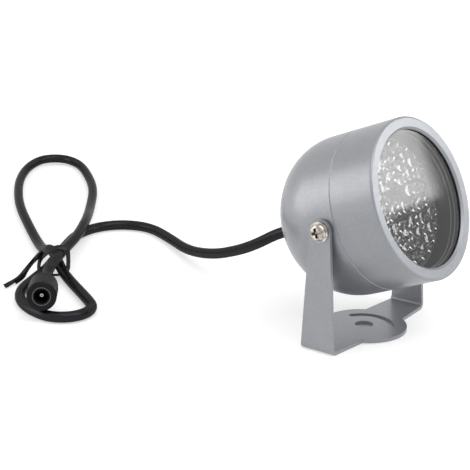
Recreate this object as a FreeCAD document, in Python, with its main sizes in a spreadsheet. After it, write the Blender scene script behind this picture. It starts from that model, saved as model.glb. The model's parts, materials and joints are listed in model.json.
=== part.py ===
import FreeCAD, Part
import math
import os
import re
import Sketcher

# Infrared illuminator: a round lamp head that tilts in a folded sheet bracket, with a
# short power lead that lies on the floor behind it and ends in a round power jack.
# Millimetres, +Z up. The origin is the centre of the bracket's round hole, on its
# lower face. The lamp looks along -Y, and the tilt axis runs along X.

V = FreeCAD.Vector
document = FreeCAD.newDocument("InfraredIlluminator")
sheet = document.addObject("Spreadsheet::Sheet", "Sizes")

# Driving dimensions: alias, value, meaning.
SIZES = [
    ("tilt_angle", 22.5, "how far the lamp looks up at rest, degrees"),
    ("pivot_height", 50.8, "tilt axis above the bracket's lower face"),
    ("sheet_thickness", 1.5, "bracket sheet"),
    ("arm_clearance", 0.5, "gap between the lamp head and each arm"),
    ("bend_radius", 1.0, "inside radius of the bracket's two folds"),
    ("base_disc_radius", 17.8, "round middle of the bracket's base"),
    ("strip_half_width", 9.0, "base strip where it leaves the disc"),
    ("arm_foot_half_width", 7.6, "arm and strip at the fold"),
    ("arm_top_radius", 4.8, "round end of each arm"),
    ("base_hole_radius", 3.8, "fixing hole in the base"),
    ("slot_radius", 11.1, "mean radius of the curved slot"),
    ("slot_width", 3.0, "width of the curved slot"),
    ("slot_half_angle", 60, "half the slot's sweep, degrees"),
    ("barrel_radius", 33.4, "lamp head outside"),
    ("wall_thickness", 2.2, "die-cast wall of both housings"),
    ("rim_ahead", 26.9, "front rim ahead of the tilt axis"),
    ("seam_ahead", 6.3, "joint line between the housings, ahead of the axis"),
    ("seam_chamfer", 0.3, "chamfer on each side of the joint line"),
    ("dome_start", 6.2, "where the dome begins, behind the axis"),
    ("dome_end", 36.2, "back of the dome, behind the axis"),
    ("crown_drop", 3.0, "dome's depth less its side arc's radius"),
    ("relief_seat_radius", 6.0, "flat round the cable exit"),
    ("exit_hole_radius", 4.0, "cable exit through the dome"),
    ("rim_width", 5.2, "face of the front rim, from its opening to the outside"),
    ("rim_lip_thickness", 1.2, "front rim lip over the window"),
    ("rim_round", 0.9, "rounded outer edge of the rim"),
    ("rim_bevel", 0.9, "bevel round the rim's opening"),
    ("gasket_thickness", 0.3, "window gasket"),
    ("gasket_setback", 0.3, "window gasket inside, behind the rim's opening"),
    ("glass_thickness", 1.8, "window glass"),
    ("glass_clearance", 0.15, "gap round the glass in the front barrel"),
    ("fit_clearance", 0.05, "running gap between parts that turn or screw together"),
    ("spigot_end", 14.0, "front end of the rear housing's spigot, ahead of the axis"),
    ("spigot_wall", 2.45, "wall of the spigot"),
    ("ledge_width", 1.7, "ledge inside the spigot that carries the light board"),
    ("web_depth", 2.6, "web that joins the spigot to the rear wall"),
    ("ring_section_radius", 0.74, "sealing ring section"),
    ("ring_ahead", 9.6, "sealing ring ahead of the axis"),
    ("sleeve_wall", 2.75, "spacer sleeve"),
    ("board_clearance", 0.2, "gap round the light board in the spigot"),
    ("board_thickness", 1.6, "light board"),
    ("board_front", 10.0, "front face of the light board, ahead of the axis"),
    ("light_radius", 2.5, "one light"),
    ("light_height", 8.6, "one light above the board"),
    ("light_shoulder", 6.4, "straight part of a light"),
    ("light_tip_radius", 1.2, "blunt tip of a light"),
    ("outer_ring_share", 0.8, "outer ring of lights, as a share of the board's radius"),
    ("middle_ring_share", 0.59, "middle ring of lights, as a share of the board's radius"),
    ("inner_ring_share", 0.386, "inner ring of lights, as a share of the board's radius"),
    ("centre_pair_pitch", 7.6, "distance between the two middle lights"),
    ("centre_pair_drop", 2.2, "middle lights below the optical axis"),
    ("board_screw_radius", 1.25, "board screw shank"),
    ("board_screw_head_radius", 2.2, "board screw head"),
    ("board_screw_head_height", 1.5, "board screw head"),
    ("board_screw_length", 6.0, "board screw shank below the board"),
    ("post_radius", 2.6, "post under each board screw"),
    ("screw_tip_room", 0.6, "room beyond a screw's tip"),
    ("pivot_screw_radius", 2.0, "pivot screw shank"),
    ("pivot_screw_length", 10.0, "pivot screw shank under its washer"),
    ("pivot_boss_radius", 4.2, "boss that takes a pivot screw"),
    ("pivot_boss_depth", 14.8, "boss that takes a pivot screw, from its face"),
    ("pivot_head_radius", 3.6, "pivot screw pan head"),
    ("pivot_head_height", 2.3, "pivot screw pan head"),
    ("pivot_head_edge", 1.0, "straight edge of the pan head"),
    ("pivot_head_crown", 2.5, "flat top of the pan head, radius"),
    ("cross_width", 0.9, "width of the cross recess"),
    ("cross_length", 4.2, "length of the cross recess"),
    ("cross_depth", 1.3, "depth of the cross recess"),
    ("washer_radius", 4.2, "pivot washer outside"),
    ("washer_thickness", 0.8, "pivot washer"),
    ("relief_flange_radius", 5.4, "strain relief flange"),
    ("relief_flange_thickness", 1.6, "strain relief flange"),
    ("relief_length", 8.0, "strain relief outside the dome"),
    ("relief_root_radius", 4.2, "strain relief cone at the flange"),
    ("relief_tip_radius", 3.0, "strain relief cone at its tip"),
    ("relief_inner_flange", 1.8, "strain relief inside the dome"),
    ("wire_radius", 0.8, "inner wires"),
    ("wire_pitch", 3.0, "distance between the inner wires at the strain relief"),
    ("wire_first_bend", 22.0, "inner wires' bend near the strain relief, behind the axis"),
    ("wire_last_bend", 6.0, "inner wires' bend near the board, behind the axis"),
    ("wire_drop", 3.0, "inner wires below the optical axis at the board"),
    ("board_part_clearance", 3.0, "capacitor or diode clear of the pivot boss on its side"),
    ("capacitor_radius", 4.0, "capacitor"),
    ("capacitor_height", 11.0, "capacitor"),
    ("resistor_length", 6.4, "chip resistor"),
    ("resistor_width", 3.2, "chip resistor"),
    ("resistor_height", 0.7, "chip resistor"),
    ("resistor_column_pitch", 7.8, "distance between the columns of resistors"),
    ("resistor_near_row", 9.5, "nearer rows of resistors, from the optical axis"),
    ("resistor_far_row", 14.5, "farther rows of resistors, from the optical axis"),
    ("diode_radius", 1.4, "diode body"),
    ("diode_length", 5.2, "diode body"),
    ("cord_radius", 2.4, "power cord"),
    ("cord_lead", 5.0, "power cord's straight lead out of the strain relief"),
    ("jack_radius", 6.35, "jack head"),
    ("jack_head_length", 12.8, "jack head"),
    ("jack_groove_radius", 5.6, "groove behind the jack head"),
    ("jack_groove_length", 1.4, "groove behind the jack head"),
    ("jack_collar_radius", 6.1, "collar behind the groove"),
    ("jack_collar_length", 2.8, "collar behind the groove"),
    ("jack_relief_length", 12.0, "cord sleeve behind the collar"),
    ("jack_relief_radius", 3.1, "cord sleeve at its thin end"),
    ("jack_relief_root", 3.7, "cord sleeve at the collar"),
    ("jack_bevel", 0.5, "bevel round the jack's face"),
    ("socket_outer_radius", 3.85, "socket insert outside"),
    ("socket_radius", 3.1, "socket opening"),
    ("socket_depth", 11.0, "socket insert length"),
    ("socket_floor", 1.5, "closed end of the socket insert"),
    ("jack_pin_radius", 1.05, "centre pin"),
    ("jack_pin_setback", 1.0, "centre pin tip behind the jack's face"),
    ("tie_width", 2.4, "twist tie ribbon width"),
    ("tie_thickness", 0.7, "twist tie ribbon thickness"),
]

# Worked out from the driving dimensions.
DERIVED = [
    ("arm_inside", "barrel_radius + arm_clearance"),
    ("arm_outside", "arm_inside + sheet_thickness"),
    ("disc_corner", "sqrt(base_disc_radius ^ 2 - strip_half_width ^ 2)"),
    ("dome_depth", "dome_end - dome_start"),
    ("shoulder_radius", "dome_depth - crown_drop"),
    ("shoulder_centre", "barrel_radius - shoulder_radius"),
    ("crown_radius", "(shoulder_centre ^ 2 + dome_depth ^ 2 - shoulder_radius ^ 2)"
                     " / (2 * crown_drop)"),
    ("crown_centre", "crown_radius - dome_end"),
    ("blend_x", "shoulder_centre / (crown_radius - shoulder_radius)"),
    ("blend_z", "-(dome_start + crown_centre) / (crown_radius - shoulder_radius)"),
    ("inner_crown", "crown_radius - wall_thickness"),
    ("inner_shoulder", "shoulder_radius - wall_thickness"),
    ("inner_seat", "crown_centre - sqrt(inner_crown ^ 2 - relief_flange_radius ^ 2)"),
    ("seat_level", "crown_centre - sqrt(crown_radius ^ 2 - relief_seat_radius ^ 2)"),
    ("bore_radius", "barrel_radius - wall_thickness"),
    ("rim_opening_radius", "barrel_radius - rim_width"),
    ("gasket_inner_radius", "rim_opening_radius + gasket_setback"),
    ("lip_back", "rim_ahead - rim_lip_thickness"),
    ("glass_front", "lip_back - gasket_thickness"),
    ("glass_back", "glass_front - glass_thickness"),
    ("glass_radius", "bore_radius - glass_clearance"),
    ("spigot_radius", "bore_radius - fit_clearance"),
    ("spigot_inner_radius", "spigot_radius - spigot_wall"),
    ("ledge_radius", "spigot_inner_radius - ledge_width"),
    ("sleeve_inner_radius", "glass_radius - sleeve_wall"),
    ("groove_radius", "bore_radius - 2 * ring_section_radius - 0.02"),
    ("board_radius", "spigot_inner_radius - board_clearance"),
    ("board_back", "board_front - board_thickness"),
    ("outer_ring_radius", "outer_ring_share * board_radius"),
    ("middle_ring_radius", "middle_ring_share * board_radius"),
    ("inner_ring_radius", "inner_ring_share * board_radius"),
    ("boss_face", "arm_inside - fit_clearance"),
    ("boss_inner_end", "boss_face - pivot_boss_depth"),
    ("washer_inside", "arm_outside + fit_clearance"),
    ("washer_outside", "washer_inside + washer_thickness"),
    ("jack_length", "jack_relief_length + jack_collar_length + jack_groove_length"
                    " + jack_head_length"),
]

# Places on the power cord between its lead out of the strain relief and the jack, with their
# height above a cord that lies on the floor. It comes down to the floor in an easy S, and is
# gathered in a short and a long loop. At the tie the cord crosses over itself, and the run to
# the jack lies on top.
CORD_ROUTE = [
    (1.2, 56.5, 22.6),
    (4.4, 68.4, 16.3), (10.4, 87.8, 8.4), (21.2, 111.7, 2.4), (36.4, 135.8, 0.0),
    (43.6, 153.9, 0.0), (39.2, 167.9, 0.0), (27.2, 175.4, 0.0), (11.5, 174.6, 0.0),
    (-5.0, 166.4, 0.0), (-22.0, 156.4, 0.6), (-37.0, 147.6, 1.2), (-50.4, 143.6, 0.2),
    (-61.2, 139.6, 0.0), (-69.4, 132.4, 0.0), (-74.8, 123.4, 0.0), (-77.2, 114.2, 0.0),
    (-77.4, 106.4, 0.0), (-72.9, 99.8, 0.0), (-65.3, 97.3, 0.0), (-57.8, 100.0, 0.0),
    (-52.9, 107.0, 0.0), (-45.8, 119.4, 0.0), (-39.4, 130.6, 0.0), (-33.6, 141.0, 0.8),
    (-27.2, 153.0, 7.5), (-20.4, 164.6, 2.2), (-10.4, 178.6, 0.1), (6.1, 201.0, 0.0),
    (30.6, 233.0, 0.0), (57.4, 260.3, 0.0), (76.2, 275.2, 0.0), (90.4, 284.6, 0.0),
    (102.8, 285.6, 0.0), (111.4, 277.6, 0.0), (111.0, 265.8, 0.0), (101.0, 250.6, 0.0),
    (77.8, 223.0, 0.0), (45.4, 196.5, 0.6), (19.3, 174.8, 5.6), (-3.4, 159.4, 6.5),
    (-20.4, 149.6, 7.8), (-36.7, 140.9, 8.4), (-47.5, 136.7, 5.6), (-58.1, 127.5, 6.8),
]

# The tie: a loop across the gathered cord and a tail that comes down to the floor beside it.
# A loop place is (across the bundle, height). The loop's inside just clears three strands.
TIE_CENTRE = V(-34.6, 147.4, 0)
TIE_ALONG = V(-0.785, -0.620, 0)
TIE_LOOP = [(-4.4, 0.75), (5.8, 0.75), (7.8, 2.6), (8.1, 11.0), (6.9, 13.0), (3.4, 13.4),
            (-1.0, 12.0), (-4.6, 8.4), (-5.6, 3.0)]
TIE_TAIL = [(-36.6, 152.4, 9.4), (-38.7, 152.6, 8.2), (-41.0, 152.7, 6.8), (-45.2, 152.4, 4.4),
            (-50.5, 151.6, 2.4), (-60.2, 150.9, 1.0)]

for row, (alias, value, meaning) in enumerate(SIZES, start=1):
    sheet.set("A%d" % row, alias)
    sheet.set("B%d" % row, str(value))
    sheet.set("C%d" % row, meaning)
    sheet.setAlias("B%d" % row, alias)
for row, (alias, formula) in enumerate(DERIVED, start=len(SIZES) + 1):
    sheet.set("A%d" % row, alias)
    sheet.set("B%d" % row, "=" + formula)
    sheet.setAlias("B%d" % row, alias)
document.recompute()

ALIASES = {alias for alias, *_ in SIZES} | {alias for alias, _ in DERIVED}
PARTS = []


def size(formula):
    """The number that a formula of the sheet's names gives."""
    return float(sheet.evalExpression(str(formula)))


def linked(formula):
    """The formula with each of the sheet's names written as another object sees it."""
    return re.sub(r"[a-z_]+", lambda m: "Sizes." + m[0] if m[0] in ALIASES else m[0], str(formula))


def bind(thing, target, formula):
    """Ties a property or constraint to the sheet."""
    thing.setExpression(target, linked(formula))


def new_body(node):
    """A body whose label is the name of the piece."""
    body = document.addObject("PartDesign::Body", node)
    body.Label = node
    PARTS.append(body)
    return body


def new_sketch(body, name, plane):
    """A sketch on one of the body's own planes."""
    sketch = body.newObject("Sketcher::SketchObject", name)
    support = [f for f in body.Origin.OriginFeatures if f.Role == plane][0]
    sketch.AttachmentSupport = [(support, "")]
    sketch.MapMode = "FlatFace"
    return sketch


def bulge_arc(start, end, radius):
    """The short arc from start to end. A positive radius bulges to the right of the way."""
    half = (end - start) * 0.5
    normal = V(-half.y, half.x, 0).normalize()
    sag = math.sqrt(radius ** 2 - half.Length ** 2)
    centre = start + half + normal * math.copysign(sag, radius)
    circle = Part.Circle(centre, V(0, 0, 1), abs(radius))
    angles = [math.atan2(p.y - centre.y, p.x - centre.x) for p in (start, end)]
    if radius < 0:
        angles.reverse()
    return Part.ArcOfCircle(circle, *angles)


def outline(sketch, corners):
    """Draws a closed outline. A corner is (x, y), or (x, y, radius) where an arc leaves it.

    Every corner and radius is a formula of the sheet's names and is bound to it.
    """
    first = sketch.GeometryCount
    places = [V(size(c[0]), size(c[1]), 0) for c in corners]
    ends = []
    for i, corner in enumerate(corners):
        start, end = places[i], places[(i + 1) % len(corners)]
        if len(corner) == 3:
            radius = size(corner[2])
            sketch.addGeometry(bulge_arc(start, end, radius), False)
            ends.append((1, 2) if radius > 0 else (2, 1))
        else:
            sketch.addGeometry(Part.LineSegment(start, end), False)
            ends.append((1, 2))
    for i in range(len(corners)):
        after = (i + 1) % len(corners)
        sketch.addConstraint(
            Sketcher.Constraint("Coincident", first + i, ends[i][1], first + after, ends[after][0]))
    for i, corner in enumerate(corners):
        for kind, value, formula in zip(("DistanceX", "DistanceY"), places[i], corner):
            at = sketch.addConstraint(Sketcher.Constraint(kind, first + i, ends[i][0], value))
            if re.search("[a-z]", str(formula)):
                bind(sketch, "Constraints[%d]" % at, formula)
        if len(corner) == 3:
            radius = str(corner[2]).lstrip("-")
            at = sketch.addConstraint(Sketcher.Constraint("Radius", first + i, size(radius)))
            bind(sketch, "Constraints[%d]" % at, radius)


def circle(sketch, radius, x=0, y=0):
    """A bound circle in a sketch."""
    at = sketch.addGeometry(Part.Circle(V(size(x), size(y), 0), V(0, 0, 1), size(radius)), False)
    for kind, formula in (("DistanceX", x), ("DistanceY", y)):
        c = sketch.addConstraint(Sketcher.Constraint(kind, at, 3, size(formula)))
        if re.search("[a-z]", str(formula)):
            bind(sketch, "Constraints[%d]" % c, formula)
    c = sketch.addConstraint(Sketcher.Constraint("Radius", at, size(radius)))
    bind(sketch, "Constraints[%d]" % c, radius)


def revolved(body, name, corners):
    """Turns a closed (radius, along) outline about the body's Z axis."""
    sketch = new_sketch(body, name + "_section", "XZ_Plane")
    outline(sketch, corners)
    turn = body.newObject("PartDesign::Revolution", name)
    turn.Profile = sketch
    turn.ReferenceAxis = (sketch, ["V_Axis"])
    turn.Angle = 360
    body.Tip = turn
    return turn


def padded(body, name, sketch, length, midplane=False, back=False):
    """Extrudes a sketch."""
    pad = body.newObject("PartDesign::Pad", name)
    pad.Profile = sketch
    pad.Midplane = midplane
    pad.Reversed = back
    bind(pad, "Length", length)
    body.Tip = pad
    return pad


def pocketed(body, name, sketch):
    """Cuts a sketch through the whole body, both ways."""
    document.recompute()
    before = body.Shape.Volume
    pocket = body.newObject("PartDesign::Pocket", name)
    pocket.Profile = sketch
    pocket.Midplane = True
    pocket.Type = "Length"
    bind(pocket, "Length", "4 * arm_outside")
    body.Tip = pocket
    document.recompute()
    if body.Shape.Volume > before - 1e-3:
        raise RuntimeError(name + " removes nothing")
    return pocket


def drum(body, name, kind, radius, length, place, direction):
    """An added or removed cylinder at a bound place, along a direction."""
    solid = body.newObject("PartDesign::%sCylinder" % kind, name)
    solid.Placement = FreeCAD.Placement(V(0, 0, 0), FreeCAD.Rotation(V(0, 0, 1), direction))
    bind(solid, "Radius", radius)
    bind(solid, "Height", length)
    for letter, formula in zip("xyz", place):
        bind(solid, "Placement.Base." + letter, formula)
    body.Tip = solid
    return solid


def shaped(node, shape):
    """A piece whose shape is worked out here."""
    piece = document.addObject("Part::Feature", node)
    piece.Label = node
    piece.Shape = shape
    PARTS.append(piece)
    return piece


def in_head(piece):
    """Puts a piece drawn about the optical axis into the tilted head: Z forward, Y up."""
    piece.Placement = FreeCAD.Placement(V(0, 0, 0), FreeCAD.Rotation(V(1, 0, 0), 90 - size("tilt_angle")))
    bind(piece, "Placement.Base.z", "pivot_height")
    bind(piece, "Placement.Rotation.Angle", "90 - tilt_angle")
    return piece


def rounded_path(places):
    """Straight runs joined by tangent arcs as large as the runs allow, and the arcs' radii."""
    edges, radii = [], []
    start = places[0]
    for before, corner, after in zip(places, places[1:], places[2:]):
        run = min((corner - before).Length, (after - corner).Length)
        inward = (corner - before).normalize()
        outward = (after - corner).normalize()
        turn = inward.getAngle(outward)
        cut = 0.45 * run
        radius = cut / math.tan(turn / 2)
        entry, leave = corner - inward * cut, corner + outward * cut
        middle = corner + (outward - inward).normalize() * (radius / math.cos(turn / 2) - radius)
        edges.append(Part.LineSegment(start, entry).toShape())
        edges.append(Part.Arc(entry, middle, leave).toShape())
        radii.append(radius)
        start = leave
    edges.append(Part.LineSegment(start, places[-1]).toShape())
    return Part.Wire(edges), radii


def tube(places, radius):
    """A round tube along the rounded path, its volume compared with section times length."""
    path, radii = rounded_path(places)
    start, along = places[0], places[1] - places[0]
    section = Part.Wire([Part.Circle(start, along, radius).toShape()])
    solid = path.makePipeShell([section], True, False)
    expected = math.pi * radius ** 2 * path.Length
    if abs(solid.Volume / expected - 1) > 0.01:
        raise RuntimeError("a tube's volume is off: %.1f for %.1f" % (solid.Volume, expected))
    return solid, path.Length, radii


# Folded sheet bracket: the U section across, then its plan and side outlines are cut.
bracket = new_body("mounting_bracket")
section = new_sketch(bracket, "fold_section", "XZ_Plane")
arm_top = "pivot_height + arm_top_radius"
fold_outer = "bend_radius + sheet_thickness"
outline(section, [
    ("-arm_outside + " + fold_outer, 0), ("arm_outside - bend_radius - sheet_thickness", 0, fold_outer),
    ("arm_outside", fold_outer), ("arm_outside", arm_top), ("arm_inside", arm_top),
    ("arm_inside", fold_outer, "-bend_radius"), ("arm_inside - bend_radius", "sheet_thickness"),
    ("-arm_inside + bend_radius", "sheet_thickness", "-bend_radius"), ("-arm_inside", fold_outer),
    ("-arm_inside", arm_top), ("-arm_outside", arm_top), ("-arm_outside", fold_outer, fold_outer),
])
padded(bracket, "folded_sheet", section, "2 * base_disc_radius", midplane=True)
plan = new_sketch(bracket, "plan_outline", "XY_Plane")
outline(plan, [("-2 * arm_outside", "-2 * arm_outside"), ("2 * arm_outside", "-2 * arm_outside"),
               ("2 * arm_outside", "2 * arm_outside"), ("-2 * arm_outside", "2 * arm_outside")])
outline(plan, [
    ("arm_outside", "-arm_foot_half_width"), ("arm_outside", "arm_foot_half_width"),
    ("disc_corner", "strip_half_width", "base_disc_radius"), ("-disc_corner", "strip_half_width"),
    ("-arm_outside", "arm_foot_half_width"), ("-arm_outside", "-arm_foot_half_width"),
    ("-disc_corner", "-strip_half_width", "base_disc_radius"), ("disc_corner", "-strip_half_width"),
])
pocketed(bracket, "plan_cut", plan)
side = new_sketch(bracket, "arm_sides", "YZ_Plane")
for sign in ("", "-"):
    reach = sign + "base_disc_radius"
    outline(side, [
        (sign + "arm_foot_half_width", fold_outer), (reach, fold_outer), (reach, "2 * pivot_height"),
        (0, "2 * pivot_height"), (0, arm_top, ("" if sign else "-") + "arm_top_radius"),
        (sign + "arm_top_radius", "pivot_height"),
    ])
pocketed(bracket, "arm_cut", side)
holes = new_sketch(bracket, "base_holes", "XY_Plane")
circle(holes, "base_hole_radius")
outer, inner = "(slot_radius + slot_width / 2)", "(slot_radius - slot_width / 2)"
outline(holes, [
    (outer + " * cos(slot_half_angle)", "-" + outer + " * sin(slot_half_angle)", outer),
    (outer + " * cos(slot_half_angle)", outer + " * sin(slot_half_angle)", "0.51 * slot_width"),
    (inner + " * cos(slot_half_angle)", inner + " * sin(slot_half_angle)", "-" + inner),
    (inner + " * cos(slot_half_angle)", "-" + inner + " * sin(slot_half_angle)", "0.51 * slot_width"),
])
pocketed(bracket, "base_hole_cut", holes)
pivots = new_sketch(bracket, "pivot_holes", "YZ_Plane")
circle(pivots, "pivot_screw_radius + fit_clearance", 0, "pivot_height")
pocketed(bracket, "pivot_hole_cut", pivots)


# Rear housing: a barrel that closes in a dome, with a spigot that enters the front barrel.
# Its hidden inside narrows in two plain cones to a flat round the cable exit.
rear = new_body("rear_housing")
revolved(rear, "dome_and_spigot", [
    ("exit_hole_radius", "seat_level"), ("relief_seat_radius", "seat_level", "crown_radius"),
    ("shoulder_centre + shoulder_radius * blend_x", "-dome_start + shoulder_radius * blend_z",
     "shoulder_radius"),
    ("barrel_radius", "-dome_start"), ("barrel_radius", "seam_ahead - seam_chamfer"),
    ("barrel_radius - seam_chamfer", "seam_ahead"), ("spigot_radius", "seam_ahead"),
    ("spigot_radius", "ring_ahead - ring_section_radius - fit_clearance"),
    ("groove_radius", "ring_ahead - ring_section_radius - fit_clearance"),
    ("groove_radius", "ring_ahead + ring_section_radius + fit_clearance"),
    ("spigot_radius", "ring_ahead + ring_section_radius + fit_clearance"),
    ("spigot_radius", "spigot_end"), ("spigot_inner_radius", "spigot_end"),
    ("spigot_inner_radius", "board_back"), ("ledge_radius", "board_back"),
    ("ledge_radius", "seam_ahead - web_depth"), ("bore_radius", "seam_ahead - web_depth"),
    ("bore_radius", "-dome_start"),
    ("shoulder_centre + inner_shoulder * blend_x", "-dome_start + inner_shoulder * blend_z"),
    ("relief_flange_radius + screw_tip_room", "inner_seat"), ("exit_hole_radius", "inner_seat"),
])
for word, sign, way in (("left", "-", V(-1, 0, 0)), ("right", "", V(1, 0, 0))):
    drum(rear, word + "_pivot_boss", "Additive", "pivot_boss_radius", "pivot_boss_depth",
         (sign + "boss_inner_end", 0, 0), way)
    drum(rear, word + "_board_post", "Additive", "post_radius", "board_back",
         (sign + "outer_ring_radius", 0, 0), V(0, 0, 1))
for word, sign, way in (("left", "-", V(-1, 0, 0)), ("right", "", V(1, 0, 0))):
    depth = "(pivot_screw_length - washer_thickness - sheet_thickness - 2 * fit_clearance + screw_tip_room)"
    drum(rear, word + "_pivot_thread", "Subtractive", "pivot_screw_radius + fit_clearance",
         depth, (sign + "(boss_face - " + depth + ")", 0, 0), way)
    drum(rear, word + "_board_thread", "Subtractive", "board_screw_radius + fit_clearance",
         "board_screw_length + screw_tip_room",
         (sign + "outer_ring_radius", 0, "board_back - board_screw_length - screw_tip_room"), V(0, 0, 1))
in_head(rear)

# Front barrel: screws onto the spigot, and its rim holds the window in.
front = new_body("front_barrel")
revolved(front, "barrel_and_rim", [
    ("bore_radius", "seam_ahead"), ("barrel_radius - seam_chamfer", "seam_ahead"),
    ("barrel_radius", "seam_ahead + seam_chamfer"), ("barrel_radius", "rim_ahead - rim_round", "rim_round"),
    ("barrel_radius - rim_round", "rim_ahead"), ("rim_opening_radius + rim_bevel", "rim_ahead"),
    ("rim_opening_radius", "rim_ahead - rim_bevel"), ("rim_opening_radius", "lip_back"),
    ("bore_radius", "lip_back"),
])
in_head(front)


def ring(node, inner, outer, back, ahead):
    """A plain ring in the head, or a disc where inner is 0."""
    body = new_body(node)
    revolved(body, node + "_turned", [(inner, back), (outer, back), (outer, ahead), (inner, ahead)])
    return in_head(body)


ring("seam_seal", "bore_radius - 2 * ring_section_radius", "bore_radius",
     "ring_ahead - ring_section_radius", "ring_ahead + ring_section_radius")
ring("window_gasket", "gasket_inner_radius", "glass_radius", "glass_front", "lip_back")
ring("window_glass", 0, "glass_radius", "glass_back", "glass_front")
ring("spacer_sleeve", "sleeve_inner_radius", "glass_radius", "spigot_end", "glass_back")

# Light board, held on the rear housing's ledge and posts by two screws.
board = new_body("light_board")
board_plan = new_sketch(board, "board_plan", "XY_Plane")
circle(board_plan, "board_radius")
for sign in ("-", ""):
    circle(board_plan, "board_screw_radius + fit_clearance", sign + "outer_ring_radius")
padded(board, "board_sheet", board_plan, "board_thickness")
bind(board_plan, "AttachmentOffset.Base.z", "board_back")
in_head(board)


def stacked(loops):
    """A solid with flat faces between closed loops of corners."""
    faces = [Part.Face(Part.makePolygon(loop + loop[:1])) for loop in (loops[0], loops[-1])]
    for low, high in zip(loops, loops[1:]):
        for k in range(len(low)):
            faces.append(Part.Face(Part.makePolygon([low[k - 1], low[k], high[k], high[k - 1], low[k - 1]])))
    solid = Part.makeSolid(Part.makeShell(faces))
    if solid.Volume < 0:
        solid.reverse()
    return solid


def mitred(places, section):
    """A bar with flat sides along straight runs. The section's corners are given round its start."""
    loops = [section]
    for k in range(1, len(places)):
        along = (places[k] - places[k - 1]).normalize()
        facing = along if k == len(places) - 1 else along + (places[k + 1] - places[k]).normalize()
        loops.append([c + along * ((places[k] - c).dot(facing) / along.dot(facing)) for c in loops[-1]])
    return stacked(loops)


def bullet(across, up):
    """One light on the board: a ten-sided body with a blunt tip. It is round in the render."""
    levels = [("board_front", "light_radius"), ("board_front + light_shoulder", "light_radius"),
              ("board_front + light_height", "light_tip_radius")]
    return stacked([[V(across + size(radius) * math.cos(k * math.pi / 5),
                       up + size(radius) * math.sin(k * math.pi / 5), size(level)) for k in range(10)]
                    for level, radius in levels])


def ring_places(radius, count, first, left_out=()):
    """Places evenly round a ring, counted from the first angle in degrees."""
    angles = [math.radians(first + 360 * k / count) for k in range(count) if k not in left_out]
    return [(radius * math.cos(a), radius * math.sin(a)) for a in angles]


pair_side = size("centre_pair_pitch / 2")
pair_down = -size("centre_pair_drop")
LIGHT_GROUPS = {
    "outer_lights": ring_places(size("outer_ring_radius"), 24, 7.5, (0, 11, 12, 23)),
    "middle_lights": ring_places(size("middle_ring_radius"), 16, 11.25),
    "inner_lights": ring_places(size("inner_ring_radius"), 10, 18),
    "centre_lights": [(-pair_side, pair_down), (pair_side, pair_down)],
}
for node, places in LIGHT_GROUPS.items():
    in_head(shaped(node, Part.makeCompound([bullet(*place) for place in places])))


def board_screw(across):
    """A pan-head screw through the board."""
    shank = Part.makeCylinder(size("board_screw_radius"), size("board_thickness + board_screw_length"),
                              V(across, 0, size("board_back - board_screw_length")))
    head = Part.makeCone(size("board_screw_head_radius"), size("0.7 * board_screw_head_radius"),
                         size("board_screw_head_height"), V(across, 0, size("board_front")))
    return shank.fuse(head)


offset = size("outer_ring_radius")
in_head(shaped("board_screws", Part.makeCompound([board_screw(-offset), board_screw(offset)])))

# On the back of the board: two rows of chip resistors, the capacitor and the diode.
resistor_rows = [sign * size(row) for sign in (-1, 1) for row in ("resistor_near_row", "resistor_far_row")]
resistor_columns = [column * size("resistor_column_pitch") for column in (-1, 0, 1)]
chips = [Part.makeBox(size("resistor_length"), size("resistor_width"), size("resistor_height"),
                      V(x - size("resistor_length / 2"), y - size("resistor_width / 2"),
                        size("board_back - resistor_height")))
         for x in resistor_columns for y in resistor_rows]
in_head(shaped("resistor_bank", Part.makeCompound(chips)))

capacitor = new_body("smoothing_capacitor")
drum(capacitor, "can", "Additive", "capacitor_radius", "capacitor_height",
     ("capacitor_radius + board_part_clearance - boss_inner_end", 0, "board_back - capacitor_height"),
     V(0, 0, 1))
in_head(capacitor)

diode = new_body("polarity_diode")
drum(diode, "diode_barrel", "Additive", "diode_radius", "diode_length",
     ("boss_inner_end - board_part_clearance - diode_length", 0, "board_back - diode_radius"), V(1, 0, 0))
in_head(diode)

# Strain relief: clips into the dome and narrows to the cord.
relief = new_body("strain_relief")
neck = "exit_hole_radius - fit_clearance"
flange_back = "seat_level - relief_flange_thickness"
relief_end = "-(dome_end + relief_length)"
revolved(relief, "moulded_relief", [
    (0, relief_end), ("relief_tip_radius", relief_end), ("relief_root_radius", flange_back),
    ("relief_flange_radius", flange_back), ("relief_flange_radius", "seat_level"), (neck, "seat_level"),
    (neck, "inner_seat"), ("relief_flange_radius", "inner_seat"),
    ("relief_flange_radius", "inner_seat + relief_inner_flange"), (0, "inner_seat + relief_inner_flange"),
])
in_head(relief)

# Two eight-sided wires run from the strain relief to the back of the board.
for node, sign in (("red_wire", -1), ("black_wire", 1)):
    side = sign * size("wire_pitch / 2")
    drop = -size("wire_drop")
    wire_start = V(side, 0, size("inner_seat + relief_inner_flange"))
    wire_run = [wire_start, V(side, 0, -size("wire_first_bend")), V(3 * side, drop, -size("wire_last_bend")),
                V(3 * side, drop, size("board_back"))]
    wire_section = [wire_start + V(math.cos(a), math.sin(a), 0) * size("wire_radius")
                    for a in (k * math.pi / 4 for k in range(8))]
    in_head(shaped(node, mitred(wire_run, wire_section)))


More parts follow.
